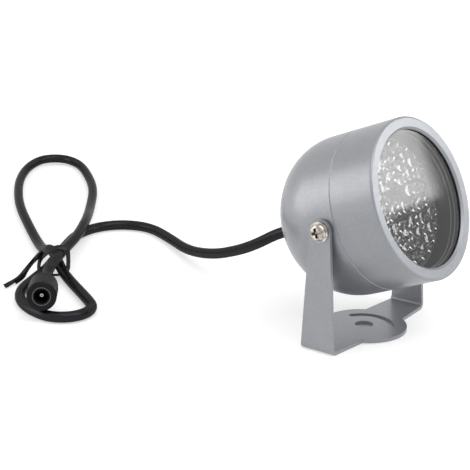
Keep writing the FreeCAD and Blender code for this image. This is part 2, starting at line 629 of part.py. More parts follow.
def pivot_hardware(word, way):
    """The washer and cross-head screw that hold one side of the lamp in its arm."""
    washer = new_body(word + "_pivot_washer")
    hole = "pivot_screw_radius + fit_clearance"
    revolved(washer, washer.Label + "_turned", [
        (hole, "-washer_thickness"), ("washer_radius", "-washer_thickness"), ("washer_radius", 0), (hole, 0)])
    screw = new_body(word + "_pivot_screw")
    revolved(screw, screw.Label + "_turned", [
        (0, "-pivot_screw_length"), ("pivot_screw_radius", "-pivot_screw_length"), ("pivot_screw_radius", 0),
        ("pivot_head_radius", 0), ("pivot_head_radius", "pivot_head_edge"),
        ("pivot_head_crown", "pivot_head_height"), (0, "pivot_head_height"),
    ])
    for letter, length, width in (("a", "cross_length", "cross_width"), ("b", "cross_width", "cross_length")):
        slot = screw.newObject("PartDesign::SubtractiveBox", word + "_cross_" + letter)
        bind(slot, "Length", length)
        bind(slot, "Width", width)
        bind(slot, "Height", "2 * cross_depth")
        bind(slot, "Placement.Base.x", "-(" + length + ") / 2")
        bind(slot, "Placement.Base.y", "-(" + width + ") / 2")
        bind(slot, "Placement.Base.z", "pivot_head_height - cross_depth")
        screw.Tip = slot
    for piece in (washer, screw):
        turn = FreeCAD.Rotation(V(0, 0, 1), V(way, 0, 0))
        piece.Placement = FreeCAD.Placement(V(0, 0, 0), turn)
        bind(piece, "Placement.Base.x", "%d * washer_outside" % way)
        bind(piece, "Placement.Base.z", "pivot_height")


pivot_hardware("left", -1)
pivot_hardware("right", 1)

# Power cord, from the strain relief to the jack. Its first place follows the tilted head.
tilt = math.radians(size("tilt_angle"))
backward = V(0, math.cos(tilt), -math.sin(tilt))
cord_start = V(0, 0, size("pivot_height")) + backward * size("dome_end + relief_length")
route = [cord_start, cord_start + backward * size("cord_lead")]
route += [V(x, y, lift + size("cord_radius")) for x, y, lift in CORD_ROUTE]
cord_shape, cord_length, bends = tube(route, size("cord_radius"))
shaped("power_cord", cord_shape)
print("cord length %.1f, bend radii %s" % (cord_length, " ".join("%.1f" % r for r in bends)))

# Round power jack on the cord's end: body, metal socket and centre pin.
jack_place = FreeCAD.Placement(route[-1], FreeCAD.Rotation(V(0, 0, 1), route[-1] - route[-2]))
jack = new_body("jack_body")
collar_end = "jack_relief_length + jack_collar_length"
groove_end = "jack_relief_length + jack_collar_length + jack_groove_length"
socket_bore = "socket_outer_radius + fit_clearance"
revolved(jack, "moulded_jack", [
    (0, 0), ("jack_relief_radius", 0), ("jack_relief_root", "jack_relief_length"),
    ("jack_collar_radius", "jack_relief_length"), ("jack_collar_radius", collar_end),
    ("jack_groove_radius", collar_end), ("jack_groove_radius", groove_end), ("jack_radius", groove_end),
    ("jack_radius", "jack_length - jack_bevel"), ("jack_radius - jack_bevel", "jack_length"),
    (socket_bore, "jack_length"), (socket_bore, "jack_length - socket_depth"),
    (0, "jack_length - socket_depth"),
])
socket = new_body("jack_socket")
revolved(socket, "socket_cup", [
    (0, "jack_length - socket_depth"), ("socket_outer_radius", "jack_length - socket_depth"),
    ("socket_outer_radius", "jack_length"), ("socket_radius", "jack_length"),
    ("socket_radius", "jack_length - socket_depth + socket_floor"),
    (0, "jack_length - socket_depth + socket_floor"),
])
pin = new_body("jack_pin")
drum(pin, "centre_pin", "Additive", "jack_pin_radius", "socket_depth - socket_floor - jack_pin_setback",
     (0, 0, "jack_length - socket_depth + socket_floor"), V(0, 0, 1))
for piece in (jack, socket, pin):
    piece.Placement = jack_place


def tie_ribbon():
    """The tie's loop across the bundle, with its tail."""
    across = V(-TIE_ALONG.y, TIE_ALONG.x, 0)
    width = size("tie_width")
    corner = TIE_CENTRE - TIE_ALONG * (width / 2)
    corners = [corner + across * a + V(0, 0, z) for a, z in TIE_LOOP]
    inside = Part.Face(Part.makePolygon(corners + corners[:1]))
    outside = inside.makeOffset2D(size("tie_thickness"), 2)
    loop = outside.extrude(TIE_ALONG * width).cut(inside.extrude(TIE_ALONG * width))
    tail_run = [V(*place) for place in TIE_TAIL]
    along = (tail_run[1] - tail_run[0]).normalize()
    flat = along.cross(V(0, 0, 1)).normalize() * (width / 2)
    rise = flat.cross(along).normalize() * (size("tie_thickness") / 2)
    section = [tail_run[0] + flat * a + rise * b for a, b in ((1, 1), (-1, 1), (-1, -1), (1, -1))]
    return loop.fuse(mitred(tail_run, section))


shaped("twist_tie", tie_ribbon())

document.recompute()
for thing in document.Objects:
    if set(thing.State) & {"Invalid", "Error"}:
        raise RuntimeError(thing.Name + " did not build")
os.makedirs("parts", exist_ok=True)
for piece in PARTS:
    shape = piece.Shape
    if shape.isNull() or not shape.isValid() or not shape.Solids:
        raise RuntimeError(piece.Label + " has no good solid")
    shape.exportStep("parts/" + piece.Label + ".step")
print("%d pieces" % len(PARTS))
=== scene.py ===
"""The looks of an infrared illuminator: its camera and light, its power cord, and the finish of every piece.

The frame is the part's own, in metres: +Z is up, the lamp looks along -Y, and X is the tilt axis. Angles are
in degrees. Routes and outlines are lists in millimetres.
"""
import json
import math

import bmesh
import bpy
from mathutils import Matrix, Quaternion, Vector


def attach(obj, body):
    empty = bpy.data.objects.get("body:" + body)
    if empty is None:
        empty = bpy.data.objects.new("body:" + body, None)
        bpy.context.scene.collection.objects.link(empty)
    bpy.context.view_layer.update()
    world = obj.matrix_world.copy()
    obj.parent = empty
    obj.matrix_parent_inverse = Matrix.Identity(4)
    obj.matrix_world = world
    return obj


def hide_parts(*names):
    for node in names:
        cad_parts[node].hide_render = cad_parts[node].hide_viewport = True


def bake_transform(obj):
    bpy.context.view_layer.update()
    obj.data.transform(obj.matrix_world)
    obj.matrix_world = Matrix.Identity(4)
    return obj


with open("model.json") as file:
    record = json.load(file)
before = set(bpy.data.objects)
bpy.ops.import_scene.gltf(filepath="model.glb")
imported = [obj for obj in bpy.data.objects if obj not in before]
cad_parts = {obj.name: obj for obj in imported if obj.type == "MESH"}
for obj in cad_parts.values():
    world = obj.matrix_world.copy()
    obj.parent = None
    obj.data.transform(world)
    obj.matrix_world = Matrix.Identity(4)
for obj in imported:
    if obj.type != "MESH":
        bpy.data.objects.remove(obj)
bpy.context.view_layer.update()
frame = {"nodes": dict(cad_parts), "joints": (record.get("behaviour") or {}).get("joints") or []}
MM = 0.001
UP = Vector((0, 0, 1))
SIDE = Vector((1, 0, 0))

# The lamp head's place and the way it looks, from the tilt joint and its angle at rest.
PIVOT = Vector(frame["joints"][0]["pos_m"])
TILT = 22.5
LOOK = Vector((0, -math.cos(math.radians(TILT)), math.sin(math.radians(TILT))))

# The photograph's camera: azimuth from the -Y side, elevation and roll, then its place, lens and sensor.
CAMERA_AZIMUTH = -52.92
CAMERA_ELEVATION = 17.88
CAMERA_ROLL = 0.57
CAMERA_PLACE = Vector((-499.81, -309.61, 228.89)) * MM
CAMERA_LENS = 114.9
CAMERA_SENSOR = 36
CAMERA_NEAR = 10 * MM

# The floor: its size and grey, and the glow that shows it as white. Under the round base the glow is a tenth,
# a painted shade that shows through the base's hole, and the glow grows with the distance, as less light gets
# there.
FLOOR_HALF = 6
FLOOR_DROP = 0.2 * MM
FLOOR_GREY = 0.86
FLOOR_GLOW = 0.50
BASE_SHADE = 15.5 * MM
BASE_SHADE_CORE = 0.9 * BASE_SHADE
PAINTED_SHADE_GLOW = 0.1
GLOW_NEAR = 0.3
GLOW_FAR = 0.9
GLOW_FAR_GAIN = 1.5

# The surround's strength: in the light on the object, and where it is seen or mirrored.
SURROUND_LIGHT = 0.44
SURROUND_SEEN = 1.0

# The soft lamps round the object.
SOFT_LAMPS = {
    "left_box": dict(azimuth=-147, elevation=16, distance=1.1, width=0.60, height=0.62, power=2.6,
                     colour=(1.0, 0.975, 0.94)),
    "top_box": dict(azimuth=-30, elevation=70, distance=1.2, width=1.0, height=0.9, power=4.2),
    "front_box": dict(azimuth=-60, elevation=30, distance=1.5, width=0.8, height=0.6, power=0.15,
                      mirror=False),
    "lamp_box": dict(azimuth=10, elevation=50, distance=1.2, width=0.45, height=0.45, power=1.3),
}

# The small lamp that the window mirrors as the photograph's pale veil: its place, the azimuth and elevation
# that it is turned by, its lean, its size and its power.
VEIL_PLACE = Vector((0.4784, -0.3944, 0.2627))
VEIL_AZIMUTH = 57
VEIL_ELEVATION = 0
VEIL_LEAN = -16.9
VEIL_SIZE = 0.2
VEIL_POWER = 0.68

# The cord: where the strain relief ends behind the tilt axis, the straight lead out of it, and the control
# points from there to the jack. They are those of the part's source, apart from four at the far loop's end,
# which are moved by up to 1 mm to follow the photograph.
RELIEF_END = 44.2 * MM
CORD_LEAD = 5 * MM
CORD_RADIUS = 2.4 * MM
CORD_ROUTE = [
    (1.2, 56.5, 25.0),
    (4.4, 68.4, 18.7), (10.4, 87.8, 10.8), (21.2, 111.7, 4.8), (36.4, 135.8, 2.4),
    (43.6, 153.9, 2.4), (39.2, 167.9, 2.4), (27.2, 175.4, 2.4), (11.5, 174.6, 2.4),
    (-5.0, 166.4, 2.4), (-22.0, 156.4, 3.0), (-37.0, 147.6, 3.6), (-50.4, 143.6, 2.6),
    (-61.2, 139.6, 2.4), (-69.4, 132.4, 2.4), (-74.8, 123.4, 2.4), (-77.2, 114.2, 2.4),
    (-77.4, 106.4, 2.4), (-72.9, 99.8, 2.4), (-65.3, 97.3, 2.4), (-57.8, 100.0, 2.4),
    (-52.9, 107.0, 2.4), (-45.8, 119.4, 2.4), (-39.4, 130.6, 2.4), (-33.6, 141.0, 3.2),
    (-27.2, 153.0, 9.9), (-20.4, 164.6, 4.6), (-10.4, 178.6, 2.5), (6.1, 201.0, 2.4),
    (30.6, 233.0, 2.4), (57.4, 260.3, 2.4), (76.2, 275.2, 2.4), (91.0, 283.8, 2.4),
    (103.0, 285.6, 3.2), (111.2, 277.2, 3.2), (110.6, 265.6, 2.4), (101.0, 250.6, 2.4),
    (77.8, 223.0, 2.4), (45.4, 196.5, 3.0), (19.3, 174.8, 8.0), (-3.4, 159.4, 8.9),
    (-20.4, 149.6, 10.2), (-36.7, 140.9, 10.8), (-47.5, 136.7, 8.0), (-58.1, 127.5, 9.2),
]

# The tie's ribbon: its size, its section with a raised middle in shares of that size, its least height over
# the floor, and its twist away from the floor.
TIE_WIDTH = 2.4 * MM
TIE_THICKNESS = 0.7 * MM
TIE_SECTION = [(-0.5, -0.22), (-0.5, 0.22), (-0.2, 0.3), (0, 0.5), (0.2, 0.3),
               (0.5, 0.22), (0.5, -0.22), (0.2, -0.3), (0, -0.5), (-0.2, -0.3)]
TIE_FLOOR = 0.5 * MM
TIE_TWIST = -40

# The tie's loop across the bundle: its middle, the way the bundle runs, and its places as (across, height).
TIE_CENTRE = Vector((-34.6, 147.4, 0)) * MM
TIE_ALONG = Vector((-0.785, -0.620, 0)).normalized()
TIE_LOOP = [(-4.4, 0.45), (5.9, 0.45), (7.9, 2.4), (8.2, 11.1), (6.9, 13.1), (3.4, 13.45), (-0.8, 11.3),
            (-4.4, 7.7), (-5.3, 3.0)]
TIE_LOOP_STEPS = 6

# The way of the tie's two ends to the floor, with the ribbon's turn at each place. Then, for each end, how
# many steps it stops short, how far it leans aside and its own turn. The lean grows from a share of it.
TIE_TAIL = [(-35.2, 151.4, 10.6), (-36.8, 152.0, 9.6), (-38.7, 152.4, 8.2), (-41.0, 152.6, 6.8),
            (-45.2, 152.4, 4.4), (-50.5, 151.6, 2.4), (-60.2, 150.9, 1.0)]
TIE_TURNS = [120, 126, 112, 100, 122, 168, 140]
TIE_TAIL_STEPS = 10
TIE_ENDS = [(0, 0.0, 0), (6, 0.9 * MM, -55)]
TIE_END_WIDTH = 0.9 * TIE_WIDTH
TIE_LEAN_START = 0.4

# The sleeve behind the window, measured ahead of the tilt axis, with its two fine beads. A bead's outline is
# in shares of its size.
SLEEVE_INNER = 28.3 * MM
SLEEVE_OUTER = 31.05 * MM
SLEEVE_BACK = 14.0 * MM
SLEEVE_FRONT = 23.6 * MM
BEADS = (22.9 * MM, 21.0 * MM)
BEAD_SIZE = 0.3 * MM
BEAD_OUTLINE = [(0.2, -1), (-0.8, -0.5), (-1, 0), (-0.8, 0.5), (0.2, 1), (0.2, -1)]

# The jack: from the cord's end to its face, then the thin plated rim round its socket and the hollow pin, as
# (radius, along) outlines ahead of the face.
JACK_LENGTH = 29 * MM
RIM = [(3.65, -0.3), (3.95, -0.3), (3.95, 0.06), (3.65, 0.06), (3.65, -0.3)]
PIN = [(0, -9.5), (0.85, -9.5), (0.85, -2.4), (0.7, -2.2), (0.4, -2.2), (0.4, -5), (0, -5)]

# The pivot screws: where their heads sit, the shank, the pan head, whose crown is an arc from CROWN_START to
# the peak, and the cross recess.
SCREW_SEAT = 36.25 * MM
SHANK_LENGTH = 10.0 * MM
SHANK_RADIUS = 2.0 * MM
PAN_RADIUS = 3.6 * MM
PAN_HEIGHT = 2.0 * MM
PAN_PEAK = 1.02 * PAN_HEIGHT
CROWN_START = 12
CROSS_LENGTH = 4.4 * MM
CROSS_WIDTH = 1.25 * MM
CROSS_DEPTH = 2.0 * MM
CROSS_TOP = 1.1 * PAN_HEIGHT
CROSS_TAPER = 0.7
CROSS_TURN = 20

# One lamp: a clear moulding with a flange and a dome, whose arc ends at DOME_END. The metal inside it is a
# small reflector cup on a post, with a thinner and taller post beside it. All are outlines over the board.
LENS_RADIUS = 2.5 * MM
LENS_HEIGHT = 8.6 * MM
DOME_END = 78
FLANGE_RADIUS = 2.85 * MM
FLANGE_HEIGHT = 1.0 * MM
CUP = [(0, 2.6), (0.6, 2.6), (1.75, 4.4), (1.6, 4.4), (0.5, 3.2), (0, 3.2)]
POST = [(0, 0.1), (0.45, 0.1), (0.45, 2.6), (0, 2.6)]
POST_OFFSET = -0.4
THIN_POST_OFFSET = 1.5
THIN_POST_SHARES = (0.6, 1.1)

# The lamps' solids are told apart by vertices that share a place. A lamp's foot is its lowest ring.
SAME_PLACE = 0.001 * MM
FOOT_BAND = 0.1 * MM

# Edges sharper than this aren't smoothed.
SHARP_ANGLE = 38

# Nearly all of a noise texture's factor lies between these.
NOISE_LOW = 0.3
NOISE_HIGH = 0.7

# The colour of the cord's and the jack's shine.
COOL_SHINE = (0.9, 0.89, 1.0)


def point(values):
    """A place in millimetres as a vector in metres."""
    return Vector(values) * MM


def outline(places):
    """The (radius, along) places of an outline in metres."""
    return [(radius * MM, along * MM) for radius, along in places]


def aimed(azimuth, elevation):
    """The direction from the part towards an azimuth and an elevation."""
    a, e = math.radians(azimuth), math.radians(elevation)
    return Vector((math.sin(a) * math.cos(e), -math.cos(a) * math.cos(e), math.sin(e)))


def new_object(name, mesh, material, body=None):
    """An object with a smooth mesh and one material, on a body of the part."""
    thing = bpy.data.objects.new(name, mesh)
    bpy.context.scene.collection.objects.link(thing)
    mesh.materials.clear()
    mesh.materials.append(material)
    mesh.shade_smooth()
    mesh.set_sharp_from_angle(angle=math.radians(SHARP_ANGLE))
    if body:
        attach(thing, body)
    return thing


def mesh_from(build):
    """A mesh made by a function that fills a bmesh."""
    work = bmesh.new()
    build(work)
    bmesh.ops.recalc_face_normals(work, faces=work.faces)
    mesh = bpy.data.meshes.new("made")
    work.to_mesh(mesh)
    work.free()
    return mesh


def worked_out(thing):
    """An object's mesh with its modifiers or its bevel in it."""
    bpy.context.view_layer.update()
    return bpy.data.meshes.new_from_object(thing.evaluated_get(bpy.context.evaluated_depsgraph_get()))


def turned(work, profile, origin, axis, segments):
    """Turns a (radius, along) outline about an axis. A radius of 0 closes the end."""
    turn = UP.rotation_difference(axis)
    rows = []
    for radius, along in profile:
        angles = [2 * math.pi * k / segments for k in range(segments if radius else 1)]
        ring = [Vector((radius * math.cos(a), radius * math.sin(a), along)) for a in angles]
        rows.append([work.verts.new(origin + turn @ place) for place in ring])
    for low, high in zip(rows, rows[1:]):
        for k in range(segments):
            after = (k + 1) % segments
            corners = [low[k % len(low)], low[after % len(low)], high[after % len(high)], high[k % len(high)]]
            unique = list(dict.fromkeys(corners))
            if len(unique) > 2:
                work.faces.new(unique)


def rounded(centre, radius, start, end, steps):
    """Places on an arc of an outline, between two angles."""
    angles = [math.radians(start + (end - start) * k / steps) for k in range(steps + 1)]
    return [(centre[0] + radius * math.cos(a), centre[1] + radius * math.sin(a)) for a in angles]


def new_material(name):
    """A material, its node tree and its main shader."""
    material = bpy.data.materials.new(name)
    material.use_nodes = True
    return material, material.node_tree, material.node_tree.nodes["Principled BSDF"]


def add(tree, kind, **values):
    """A node with some of its inputs or properties set."""
    node = tree.nodes.new(kind)
    for key, value in values.items():
        if key.replace("_", " ") in node.inputs:
            node.inputs[key.replace("_", " ")].default_value = value
        else:
            setattr(node, key, value)
    return node


def own_place(tree):
    """The place on the object, in metres."""
    return tree.nodes.new("ShaderNodeTexCoord").outputs["Object"]


def noise(tree, scale, detail):
    """A noise texture's factor."""
    texture = add(tree, "ShaderNodeTexNoise", Scale=scale, Detail=detail)
    tree.links.new(own_place(tree), texture.inputs["Vector"])
    return texture.outputs["Fac"]


def spread(tree, source, low, high, start=NOISE_LOW, end=NOISE_HIGH):
    """Maps a number from its range to another one."""
    node = tree.nodes.new("ShaderNodeMapRange")
    node.inputs["From Min"].default_value = start
    node.inputs["From Max"].default_value = end
    node.inputs["To Min"].default_value = low
    node.inputs["To Max"].default_value = high
    tree.links.new(source, node.inputs["Value"])
    return node.outputs["Result"]


def tint(tree, source, dark, light, start=NOISE_LOW, end=NOISE_HIGH):
    """A colour between two, by a number in its range."""
    ramp = tree.nodes.new("ShaderNodeValToRGB")
    ramp.color_ramp.elements[0].position = start
    ramp.color_ramp.elements[1].position = end
    ramp.color_ramp.elements[0].color = (*dark, 1)
    ramp.color_ramp.elements[1].color = (*light, 1)
    tree.links.new(source, ramp.inputs["Fac"])
    return ramp.outputs["Color"]


def combined(tree, operation, first, second):
    """A number worked out from two others, between 0 and 1."""
    node = add(tree, "ShaderNodeMath", operation=operation, use_clamp=True)
    tree.links.new(first, node.inputs[0])
    tree.links.new(second, node.inputs[1])
    return node.outputs["Value"]


def bump(tree, shader, source, strength, height):
    """Relief from a texture on a material's shader."""
    node = add(tree, "ShaderNodeBump", Strength=strength, Distance=height)
    tree.links.new(source, node.inputs["Height"])
    tree.links.new(node.outputs["Normal"], shader.inputs["Normal"])


def shades(base, dark, light, lift=0.0):
    """A darker and a lighter shade of a colour, by factors."""
    return tuple(c * dark for c in base), tuple(min(1, c * light + lift) for c in base)


def metallic_paint(name, base, flake):
    """Satin grey paint with fine bright flakes, a faint orange peel and a thin clear coat."""
    material, tree, shader = new_material(name)
    flakes = add(tree, "ShaderNodeTexVoronoi", Scale=5200)
    tree.links.new(own_place(tree), flakes.inputs["Vector"])
    split = tree.nodes.new("ShaderNodeSeparateColor")
    tree.links.new(flakes.outputs["Color"], split.inputs["Color"])
    dark, light = shades(base, dark=1 - flake, light=1 + 1.5 * flake)
    colour = tint(tree, split.outputs["Red"], dark, light, start=0.2, end=0.95)
    mottle = noise(tree, scale=160, detail=3)
    blend = add(tree, "ShaderNodeMix", data_type="RGBA", blend_type="MULTIPLY")
    blend.inputs["Factor"].default_value = 1
    tree.links.new(colour, blend.inputs["A"])
    tree.links.new(tint(tree, mottle, dark=(0.95, 0.95, 0.95), light=(1, 1, 1)), blend.inputs["B"])
    tree.links.new(blend.outputs["Result"], shader.inputs["Base Color"])
    gloss = spread(tree, split.outputs["Green"], low=0.31, high=0.48, start=0, end=1)
    tree.links.new(gloss, shader.inputs["Roughness"])
    shader.inputs["Metallic"].default_value = 0.55
    shader.inputs["Coat Weight"].default_value = 0.25
    shader.inputs["Coat Roughness"].default_value = 0.16
    bump(tree, shader, noise(tree, scale=900, detail=2), strength=0.06, height=0.06 * MM)
    return material


def plain_plastic(name, base, roughness, grain=0.06, scale=1400, coat=0.0, specular=0.5, matt_edge=False,
                  shine=(1, 1, 1)):
    """Moulded plastic or rubber with a fine uneven surface, and a shine that may fade towards its edges."""
    material, tree, shader = new_material(name)
    texture = noise(tree, scale, detail=3)
    dark, light = shades(base, dark=0.8, light=1.15, lift=0.002)
    tree.links.new(tint(tree, texture, dark, light), shader.inputs["Base Color"])
    gloss = spread(tree, texture, low=roughness - 0.05, high=roughness + 0.07)
    tree.links.new(gloss, shader.inputs["Roughness"])
    shader.inputs["Coat Weight"].default_value = coat
    shader.inputs["Specular IOR Level"].default_value = specular
    shader.inputs["Specular Tint"].default_value = (*shine, 1)
    if matt_edge:
        facing = add(tree, "ShaderNodeLayerWeight", Blend=0.5).outputs["Facing"]
        fading = spread(tree, facing, low=specular, high=0.015, start=0.1, end=0.65)
        tree.links.new(fading, shader.inputs["Specular IOR Level"])
    bump(tree, shader, texture, grain, height=0.1 * MM)
    return material


def bright_metal(name, base, roughness, stained=0.78, stain_scale=500, relief=0.05):
    """Plated metal with some tarnish and a fine relief."""
    material, tree, shader = new_material(name)
    texture = noise(tree, scale=2500, detail=4)
    stain = noise(tree, stain_scale, detail=3)
    dark, light = shades(base, dark=stained, light=1)
    tree.links.new(tint(tree, stain, dark, light), shader.inputs["Base Color"])
    gloss = spread(tree, texture, low=roughness * 0.7, high=roughness * 1.5)
    tree.links.new(gloss, shader.inputs["Roughness"])
    shader.inputs["Metallic"].default_value = 1
    bump(tree, shader, texture, relief, height=0.04 * MM)
    return material


def window_material():
    """A clear flat pane: it lets the inside show, and its front mirrors the studio by its angle."""
    material, tree, shader = new_material("window")
    tree.nodes.remove(shader)
    clear = add(tree, "ShaderNodeBsdfTransparent", Color=(0.95, 0.95, 0.95, 1))
    mirror = add(tree, "ShaderNodeBsdfGlossy", Color=(1, 1, 1, 1), Roughness=0.0)
    smudge = spread(tree, noise(tree, scale=60, detail=3), low=0.05, high=0.09)
    tree.links.new(smudge, mirror.inputs["Roughness"])
    angle = add(tree, "ShaderNodeFresnel", IOR=1.5)
    side = tree.nodes.new("ShaderNodeNewGeometry")
    front = add(tree, "ShaderNodeMath", operation="SUBTRACT")
    front.inputs[0].default_value = 1
    tree.links.new(side.outputs["Backfacing"], front.inputs[1])
    share = combined(tree, "MULTIPLY", angle.outputs["Fac"], front.outputs["Value"])
    mix = tree.nodes.new("ShaderNodeMixShader")
    tree.links.new(share, mix.inputs["Fac"])
    tree.links.new(clear.outputs["BSDF"], mix.inputs[1])
    tree.links.new(mirror.outputs["BSDF"], mix.inputs[2])
    tree.links.new(mix.outputs["Shader"], tree.nodes["Material Output"].inputs["Surface"])
    return material


def lens_material():
    """Clear epoxy with a faint warm tint and tiny flow marks."""
    material, tree, shader = new_material("lens_epoxy")
    shader.inputs["Base Color"].default_value = (0.96, 0.955, 0.95, 1)
    shader.inputs["Transmission Weight"].default_value = 1
    shader.inputs["IOR"].default_value = 1.5
    flow = noise(tree, scale=700, detail=2)
    tree.links.new(spread(tree, flow, low=0.0, high=0.03), shader.inputs["Roughness"])
    bump(tree, shader, flow, strength=0.05, height=0.1 * MM)
    return material


def board_material():
    """Dark solder mask with a faint weave."""
    material, tree, shader = new_material("board_mask")
    weave = noise(tree, scale=2200, detail=2)
    colour = tint(tree, weave, dark=(0.012, 0.010, 0.010), light=(0.040, 0.034, 0.032))
    tree.links.new(colour, shader.inputs["Base Color"])
    tree.links.new(spread(tree, weave, low=0.25, high=0.45), shader.inputs["Roughness"])
    bump(tree, shader, weave, strength=0.1, height=0.08 * MM)
    return material


MATERIALS = {
    "paint": metallic_paint("housing_paint", (0.315, 0.327, 0.35), flake=0.08),
    "bracket": metallic_paint("bracket_paint", (0.335, 0.345, 0.37), flake=0.07),
    "rubber": plain_plastic("seal_rubber", (0.012, 0.012, 0.013), roughness=0.55),
    "sleeve": plain_plastic("sleeve_black", (0.006, 0.0065, 0.0075), roughness=0.4, grain=0.03, specular=0.12,
                            matt_edge=True),
    # Painted highlight: the beads' pale grey, far paler than the black sleeve they belong to, shows them as
    # bright lines.
    "bead": plain_plastic("sleeve_bead", (0.12, 0.125, 0.13), roughness=0.3, grain=0.02),
    "board": board_material(),
    "lens": lens_material(),
    "window": window_material(),
    "nickel": bright_metal("nickel_plate", (0.74, 0.68, 0.62), roughness=0.16, stained=0.3, stain_scale=620),
    "cup": bright_metal("lamp_leadframe", (1.0, 1.0, 1.0), roughness=0.16, stained=0.4, stain_scale=1900,
                        relief=1.0),
    "zinc": bright_metal("zinc_plate", (0.65, 0.65, 0.66), roughness=0.3),
    "chip": plain_plastic("chip_black", (0.02, 0.02, 0.022), roughness=0.4),
    "can": plain_plastic("capacitor_sleeve", (0.02, 0.025, 0.06), roughness=0.25, coat=0.5),
    "red": plain_plastic("wire_red", (0.35, 0.015, 0.012), roughness=0.4),
    "black": plain_plastic("wire_black", (0.012, 0.012, 0.013), roughness=0.4),
    "cord": plain_plastic("cord_pvc", (0.007, 0.007, 0.0085), roughness=0.29, grain=0.05, scale=900,
                          specular=0.28, matt_edge=True, shine=COOL_SHINE),
    "jack": plain_plastic("jack_pvc", (0.008, 0.008, 0.0095), roughness=0.36, grain=0.04, scale=1100,
                          specular=0.16, matt_edge=True, shine=COOL_SHINE),
    "socket": plain_plastic("socket_mould", (0.010, 0.010, 0.010), roughness=0.5, grain=0.02, specular=0.1),
    "plate": bright_metal("socket_plate", (0.13, 0.13, 0.12), roughness=0.35),
    "pin": bright_metal("pin_plate", (0.55, 0.53, 0.48), roughness=0.25),
    "tie": plain_plastic("tie_coating", (0.007, 0.007, 0.008), roughness=0.36, grain=0.08, scale=1600,
                         specular=0.3, matt_edge=True),
}

# The finish of each piece that shows as the part has it.
CAD_FINISHES = {
    "rear_housing": "paint", "front_barrel": "paint", "mounting_bracket": "bracket", "seam_seal": "rubber",
    "window_gasket": "rubber", "window_glass": "window", "light_board": "board", "board_screws": "zinc",
    "resistor_bank": "chip", "smoothing_capacitor": "can", "polarity_diode": "chip",
    "strain_relief": "rubber", "red_wire": "red", "black_wire": "black", "left_pivot_washer": "nickel",
    "right_pivot_washer": "nickel", "jack_body": "jack", "jack_socket": "socket",
}


def finish_cad_nodes():
    """Gives each piece that shows as the part has it its own finish."""
    for node, key in CAD_FINISHES.items():
        slots = frame["nodes"][node].data.materials
        slots.clear()
        slots.append(MATERIALS[key])


def islands(mesh):
    """The vertices of each separate solid in a mesh, as lists of places."""
    work = bmesh.new()
    work.from_mesh(mesh)
    bmesh.ops.remove_doubles(work, verts=work.verts, dist=SAME_PLACE)
    left = dict.fromkeys(work.verts)
    groups = []
    while left:
        front = [left.popitem()[0]]
        group = []
        while front:
            vertex = front.pop()
            group.append(vertex.co.copy())
            for edge in vertex.link_edges:
                other = edge.other_vert(vertex)
                if other in left:
                    del left[other]
                    front.append(other)
        groups.append(group)
    work.free()
    return groups


def lamp_feet(node):
    """Where each lamp of a group stands on the board: the middle of its lowest ring."""
    feet = []
    for group in islands(frame["nodes"][node].data):
        lowest = min(place.dot(LOOK) for place in group)
        ring = [place for place in group if place.dot(LOOK) < lowest + FOOT_BAND]
        feet.append(sum(ring, Vector()) / len(ring))
    return sorted(feet, key=lambda foot: (round(foot.z, 5), round(foot.x, 5)))


def make_lamps(node):
    """Round lamps in place of a group's plain solids, with the metal parts inside them."""
    feet = lamp_feet(node)
    moulding = [(0, 0), (FLANGE_RADIUS, 0), (FLANGE_RADIUS, FLANGE_HEIGHT), (LENS_RADIUS, FLANGE_HEIGHT)]
    moulding += rounded((0, LENS_HEIGHT - LENS_RADIUS), LENS_RADIUS, start=0, end=DOME_END, steps=6)
    moulding += [(0, LENS_HEIGHT)]
    cup, post = outline(CUP), outline(POST)
    thinner, taller = THIN_POST_SHARES
    thin_post = [(radius * thinner, along * taller) for radius, along in post]

    def lenses(work):
        for foot in feet:
            turned(work, moulding, foot, LOOK, segments=20)

    def metal(work):
        for foot in feet:
            turned(work, cup, foot, LOOK, segments=16)
            turned(work, post, foot + SIDE * POST_OFFSET * MM, LOOK, segments=8)
            turned(work, thin_post, foot + SIDE * THIN_POST_OFFSET * MM, LOOK, segments=6)

    lamps = new_object(node.replace("lights", "lamps"), mesh_from(lenses), MATERIALS["lens"], "head")
    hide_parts(node)
    inside = new_object(node.replace("lights", "leadframes"), mesh_from(metal), MATERIALS["cup"], "head")


def make_sleeve():
    """The spacer sleeve with the two fine beads, whose pale grey is a painted highlight that shows them as
    bright lines inside the lamp.
    """
    tube = [(SLEEVE_INNER, SLEEVE_BACK), (SLEEVE_OUTER, SLEEVE_BACK), (SLEEVE_OUTER, SLEEVE_FRONT),
            (SLEEVE_INNER, SLEEVE_FRONT), (SLEEVE_INNER, SLEEVE_BACK)]

    def wall(work):
        turned(work, tube, PIVOT, LOOK, segments=96)

    def beads(work):
        for along in BEADS:
            bead = [(SLEEVE_INNER + a * BEAD_SIZE, along + b * BEAD_SIZE) for a, b in BEAD_OUTLINE]
            turned(work, bead, PIVOT, LOOK, segments=96)

    sleeve = new_object("sleeve_wall", mesh_from(wall), MATERIALS["sleeve"], "head")
    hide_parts("spacer_sleeve")
    new_object("sleeve_beads", mesh_from(beads), MATERIALS["bead"], "head")


def cross_bar(seat, outward, length, width):
    """A cutter for one bar of a screw's cross recess, narrower at its bottom."""
    turn = UP.rotation_difference(outward)
    spin = Quaternion(outward, math.radians(CROSS_TURN))

    def bar(work):
        bmesh.ops.create_cube(work, size=1)
        for vertex in work.verts:
            taper = 1.0 if vertex.co.z > 0 else CROSS_TAPER
            place = Vector((vertex.co.x * length * taper, vertex.co.y * width * taper,
                            CROSS_TOP + (vertex.co.z - 0.5) * CROSS_DEPTH))
            vertex.co = seat + spin @ (turn @ place)

    return bpy.data.objects.new("bar", mesh_from(bar))


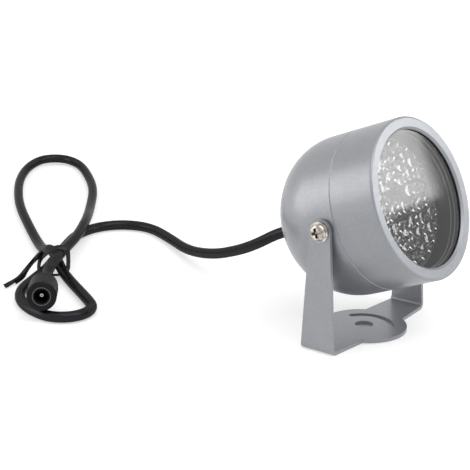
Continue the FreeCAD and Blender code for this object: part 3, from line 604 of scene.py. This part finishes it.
def make_pivot_screw(word, way):
    """A pan head with a cross recess, on its shank, in place of the part's plainer one."""
    outward = SIDE * way
    seat = PIVOT + outward * SCREW_SEAT
    profile = [(0, -SHANK_LENGTH), (SHANK_RADIUS, -SHANK_LENGTH), (SHANK_RADIUS, 0), (PAN_RADIUS, 0)]
    profile += rounded((PAN_RADIUS - PAN_HEIGHT, 0), PAN_HEIGHT, start=CROWN_START, end=90, steps=8)
    profile += [(0, PAN_PEAK)]
    plain_mesh = mesh_from(lambda work: turned(work, profile, seat, outward, segments=64))
    solid = bpy.data.objects.new("head", plain_mesh)
    cutters = [cross_bar(seat, outward, CROSS_LENGTH, CROSS_WIDTH),
               cross_bar(seat, outward, CROSS_WIDTH, CROSS_LENGTH)]
    for thing in (solid, *cutters):
        bpy.context.scene.collection.objects.link(thing)
    for cutter in cutters:
        cut = solid.modifiers.new("cut", "BOOLEAN")
        cut.operation = "DIFFERENCE"
        cut.object = cutter
    mesh = worked_out(solid)
    for thing in (solid, *cutters):
        bpy.data.objects.remove(thing)
    screw = new_object(word + "_pan_screw", mesh, MATERIALS["nickel"], "head")
    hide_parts(word + "_pivot_screw")


def make_cord():
    """The power cord as one smooth spline along its route, then as a tube round it."""
    exit_point = PIVOT - LOOK * RELIEF_END
    places = [exit_point, exit_point - LOOK * CORD_LEAD] + [point(p) for p in CORD_ROUTE]
    curve = bpy.data.curves.new("cord_line", "CURVE")
    curve.dimensions = "3D"
    curve.resolution_u = 8
    spline = curve.splines.new("NURBS")
    spline.points.add(len(places) - 1)
    for control, place in zip(spline.points, places):
        control.co = (*place, 1)
    spline.order_u = 3
    spline.use_endpoint_u = True
    line = bpy.data.objects.new("cord_line", curve)
    bpy.context.scene.collection.objects.link(line)
    bpy.context.view_layer.update()
    centre = bpy.data.meshes.new_from_object(line)
    curve.bevel_depth = CORD_RADIUS
    curve.bevel_resolution = 6
    curve.use_fill_caps = True
    mesh = worked_out(line)
    bpy.data.objects.remove(line)
    cord = new_object("power_lead", mesh, MATERIALS["cord"])
    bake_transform(cord)
    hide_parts("power_cord")


def make_jack():
    """The thin plated rim round the socket, and the hollow pin deep inside it."""
    end = point(CORD_ROUTE[-1])
    axis = (end - point(CORD_ROUTE[-2])).normalized()
    face = end + axis * JACK_LENGTH

    def rim(work):
        turned(work, outline(RIM), face, axis, segments=64)

    def pin(work):
        turned(work, outline(PIN), face, axis, segments=32)

    plate = new_object("socket_rim", mesh_from(rim), MATERIALS["plate"], "bracket")
    hollow = new_object("hollow_pin", mesh_from(pin), MATERIALS["pin"], "bracket")
    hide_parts("jack_pin")


def smooth_places(corners, closed, steps):
    """Places, or plain numbers, along a smooth spline through chosen corners."""
    places = []
    count = len(corners)
    for k in range(count if closed else count - 1):
        near = [(k + j) % count if closed else max(0, min(count - 1, k + j)) for j in (-1, 0, 1, 2)]
        a, b, c, d = [corners[j] for j in near]
        for j in range(steps):
            u = j / steps
            places.append(0.5 * (2 * b + (c - a) * u + (2 * a - 5 * b + 4 * c - d) * u ** 2
                                 + (3 * b - a - 3 * c + d) * u ** 3))
    if not closed:
        places.append(corners[-1])
    return places


def headings(places, closed):
    """The way a line of places runs at each of them."""
    ways = []
    for k, place in enumerate(places):
        after = places[(k + 1) % len(places)] if closed or k + 1 < len(places) else place
        before = places[k - 1] if closed or k else place
        ways.append((after - before).normalized())
    return ways


def swept_ribbon(work, centres, wides, width, closed):
    """A thin ribbon with a raised middle, along centres, with its width along each of wides."""
    rows = []
    for centre, wide, along in zip(centres, wides, headings(centres, closed)):
        across = (wide - along * wide.dot(along)).normalized()
        up = along.cross(across)
        section = [centre + across * a * width + up * b * TIE_THICKNESS for a, b in TIE_SECTION]
        rows.append([work.verts.new(place) for place in section])
    pairs = list(zip(rows, rows[1:])) + ([(rows[-1], rows[0])] if closed else [])
    for low, high in pairs:
        for k in range(len(low)):
            work.faces.new([low[k - 1], low[k], high[k], high[k - 1]])
    if not closed:
        work.faces.new(rows[0])
        work.faces.new(rows[-1])


def tie_loop(work):
    """The tie's ribbon once round the bundle. It lies flat on the floor and twists away from it."""
    across = Vector((-TIE_ALONG.y, TIE_ALONG.x, 0))
    corners = [TIE_CENTRE + across * a * MM + Vector((0, 0, z * MM)) for a, z in TIE_LOOP]
    loop = smooth_places(corners, closed=True, steps=TIE_LOOP_STEPS)
    wides = []
    for place, way in zip(loop, headings(loop, closed=True)):
        lift = min(1, max(0, place.z - TIE_FLOOR) / TIE_WIDTH)
        wides.append(Quaternion(way, math.radians(TIE_TWIST) * lift) @ TIE_ALONG)
    swept_ribbon(work, loop, wides, TIE_WIDTH, closed=True)


def tie_ends(work):
    """The tie's two ends, twisted round each other on their way to the floor."""
    tail = smooth_places([point(p) for p in TIE_TAIL], closed=False, steps=TIE_TAIL_STEPS)
    turns = smooth_places(TIE_TURNS, closed=False, steps=TIE_TAIL_STEPS)
    ways = headings(tail, closed=False)
    for short, lean, extra in TIE_ENDS:
        count = len(tail) - short
        centres, wides = [], []
        for k, place in enumerate(tail[:count]):
            level = ways[k].cross(UP).normalized()
            wide = Quaternion(ways[k], math.radians(turns[k] + extra)) @ level
            centre = place - level * lean * (TIE_LEAN_START + k / count)
            centre.z = max(centre.z, TIE_FLOOR + TIE_END_WIDTH / 2 * abs(wide.z))
            centres.append(centre)
            wides.append(wide)
        swept_ribbon(work, centres, wides, TIE_END_WIDTH, closed=False)


def make_tie():
    """The twist tie: one loop of ribbon across the bundle and a twisted pair of ends."""
    def build(work):
        tie_loop(work)
        tie_ends(work)

    tie = new_object("tie_ribbon", mesh_from(build), MATERIALS["tie"], "bracket")
    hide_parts("twist_tie")


def make_camera():
    """The photograph's camera."""
    azimuth = math.radians(CAMERA_AZIMUTH)
    back = aimed(CAMERA_AZIMUTH, CAMERA_ELEVATION)
    right = Vector((math.cos(azimuth), math.sin(azimuth), 0))
    roll = Quaternion(back, math.radians(CAMERA_ROLL))
    turn = Matrix((roll @ right, roll @ back.cross(right), back)).transposed()
    data = bpy.data.cameras.new("camera")
    data.lens = CAMERA_LENS
    data.sensor_width = CAMERA_SENSOR
    data.clip_start = CAMERA_NEAR
    camera = bpy.data.objects.new("camera", data)
    bpy.context.scene.collection.objects.link(camera)
    camera.matrix_world = Matrix.Translation(CAMERA_PLACE) @ turn.to_4x4()
    bpy.context.scene.camera = camera


def area_light(name, place, turn, width, height, power, colour=(1, 1, 1), mirror=True):
    """A rectangular soft lamp that the camera doesn't see."""
    data = bpy.data.lights.new(name, "AREA")
    data.shape = "RECTANGLE"
    data.size = width
    data.size_y = height
    data.energy = power
    data.color = colour
    light = bpy.data.objects.new(name, data)
    bpy.context.scene.collection.objects.link(light)
    light.matrix_world = Matrix.Translation(place) @ turn.to_matrix().to_4x4()
    light.visible_camera = False
    light.visible_glossy = mirror


def softbox(name, azimuth, elevation, distance, **lamp):
    """A soft lamp that faces the tilt axis."""
    direction = aimed(azimuth, elevation)
    area_light(name, PIVOT + direction * distance, direction.to_track_quat("Z", "Y"), **lamp)


def make_lights():
    """The soft lamps round the object, and the small one that the window mirrors."""
    for name, lamp in SOFT_LAMPS.items():
        softbox(name, **lamp)
    facing = aimed(VEIL_AZIMUTH, VEIL_ELEVATION)
    turn = Quaternion(facing, math.radians(VEIL_LEAN)) @ facing.to_track_quat("Z", "Y")
    area_light("veil_card", VEIL_PLACE, turn, VEIL_SIZE, VEIL_SIZE, VEIL_POWER)


def ray_share(tree, low, high):
    """A strength that is low for rays that light the object, and high for those that show the background."""
    rays = tree.nodes.new("ShaderNodeLightPath")
    seen = rays.outputs["Is Camera Ray"]
    for kind in ("Is Glossy Ray", "Is Transmission Ray"):
        seen = combined(tree, "ADD", seen, rays.outputs[kind])
    return spread(tree, seen, low, high, start=0, end=1)


def make_floor():
    """A plain pale floor that shows as white, with a painted shade under the round base."""
    material, tree, shader = new_material("studio_floor")
    shader.inputs["Base Color"].default_value = (FLOOR_GREY, FLOOR_GREY, FLOOR_GREY, 1)
    shader.inputs["Roughness"].default_value = 0.9
    shader.inputs["Specular IOR Level"].default_value = 0.0
    shader.inputs["Emission Color"].default_value = (1, 1, 1, 1)
    reach = add(tree, "ShaderNodeVectorMath", operation="LENGTH")
    tree.links.new(own_place(tree), reach.inputs[0])
    glow = ray_share(tree, 0.0, FLOOR_GLOW)
    # Painted shade: under the round base the glow falls to a tenth, so the floor seen through the base's hole
    # is dark.
    base = spread(tree, reach.outputs["Value"], PAINTED_SHADE_GLOW, 1, start=BASE_SHADE_CORE, end=BASE_SHADE)
    glow = combined(tree, "MULTIPLY", glow, base)
    gain = spread(tree, reach.outputs["Value"], 1, GLOW_FAR_GAIN, start=GLOW_NEAR, end=GLOW_FAR)
    glow = combined(tree, "MULTIPLY", glow, gain)
    tree.links.new(glow, shader.inputs["Emission Strength"])
    mesh = mesh_from(lambda work: bmesh.ops.create_grid(work, x_segments=1, y_segments=1, size=FLOOR_HALF))
    floor = new_object("studio_floor", mesh, material)
    floor.location.z = -FLOOR_DROP


def make_surround():
    """An even white surround."""
    world = bpy.data.worlds.new("studio")
    world.use_nodes = True
    surround = world.node_tree.nodes["Background"]
    surround.inputs["Color"].default_value = (1, 1, 1, 1)
    strength = ray_share(world.node_tree, SURROUND_LIGHT, SURROUND_SEEN)
    world.node_tree.links.new(strength, surround.inputs["Strength"])
    bpy.context.scene.world = world


make_camera()
make_tie()
make_jack()
make_cord()
finish_cad_nodes()
make_sleeve()
make_pivot_screw("left", -1)
make_pivot_screw("right", 1)
for group in ("outer_lights", "middle_lights", "inner_lights", "centre_lights"):
    make_lamps(group)
make_floor()
make_surround()
make_lights()
bpy.context.scene.view_settings.view_transform = "Standard"
